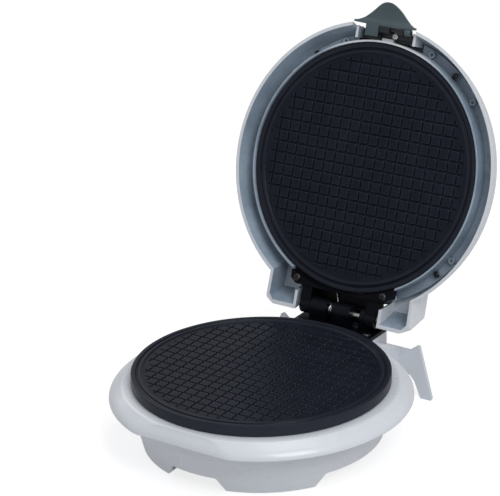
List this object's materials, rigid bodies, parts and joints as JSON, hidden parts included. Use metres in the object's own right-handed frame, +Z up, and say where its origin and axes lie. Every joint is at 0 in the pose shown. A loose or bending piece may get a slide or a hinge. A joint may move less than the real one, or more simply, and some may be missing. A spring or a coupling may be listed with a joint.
{
  "type": "waffle cone maker",
  "caption": "Round electric waffle cone iron with a hinged lid, two gridded non-stick plates, a swing latch, short feet and a rear cord store.",
  "frame": {"origin": "on the table plane, under the centre of the lower baking plate", "axes": "+Z up, +Y towards the hinge, -Y towards the latch, +X to the right seen from the front"},
  "size_m": [0.2228, 0.3007, 0.2874],
  "materials": {
    "white_moulding": "smooth satin white moulding with a faint blue cast",
    "cover_grey": "fine matt texture",
    "rubber_grey": "soft matt rubber",
    "nonstick_plate": "cast aluminium with a satin black non-stick coat",
    "frame_blue_grey": "satin blue-grey moulding",
    "bare_aluminium": "bright rolled sheet",
    "element_sheath": "dull heat-stained sheath",
    "ceramic_body": "unglazed ceramic",
    "terminal_plastic": "cream heat-proof plastic",
    "lead_sleeve": "braided glass-fibre sleeve",
    "black_moulding": "satin black moulding",
    "hinge_black": "semi-gloss black enamel",
    "red_lens": "clear red lens",
    "green_lens": "clear green lens",
    "latch_grey": "satin dark grey moulding",
    "zinc_steel": "bright zinc plate",
    "black_screw": "blackened steel"
  },
  "bodies": {
    "base": {"base_housing": "white_moulding", "foot_pads": "rubber_grey", "bottom_cover": "cover_grey", "cover_screws": "zinc_steel", "lower_plate": "nonstick_plate", "lower_plate_screws": "zinc_steel", "lower_heating_element": "element_sheath", "lower_reflector": "bare_aluminium", "thermostat": "ceramic_body", "thermal_fuse": "zinc_steel", "terminal_block": "terminal_plastic", "base_leads": "lead_sleeve", "cord_gland": "black_moulding", "base_hinge_bracket": "hinge_black", "base_bracket_screws": "black_screw", "hinge_pin": "zinc_steel", "hinge_pin_clip": "zinc_steel", "base_lead_bush": "black_moulding"},
    "lid": {"lid_shell": "white_moulding", "lid_inner_frame": "frame_blue_grey", "lid_frame_screws": "zinc_steel", "upper_plate": "nonstick_plate", "upper_plate_clips": "zinc_steel", "upper_plate_screws": "zinc_steel", "upper_heating_element": "element_sheath", "upper_reflector": "bare_aluminium", "upper_thermal_cutoff": "ceramic_body", "lid_leads": "lead_sleeve", "power_lamp_lens": "red_lens", "ready_lamp_lens": "green_lens", "lid_hinge_bracket": "hinge_black", "lid_bracket_screws": "black_screw", "latch_mount": "black_moulding", "latch_mount_screw": "zinc_steel", "latch_pin": "zinc_steel"},
    "latch": {"latch_flap": "latch_grey"}
  },
  "joints": [
    {"name": "lid_hinge", "type": "hinge", "parent": "base", "child": "lid", "pos_m": [0, 0.1115, 0.0598], "axis": [1, 0, 0], "range_deg": [0, 108.9]},
    {"name": "latch_pivot", "type": "hinge", "parent": "lid", "child": "latch", "pos_m": [0, 0.17788, 0.26697], "axis": [1, 0, 0], "range_deg": [0, 90]}
  ]
}
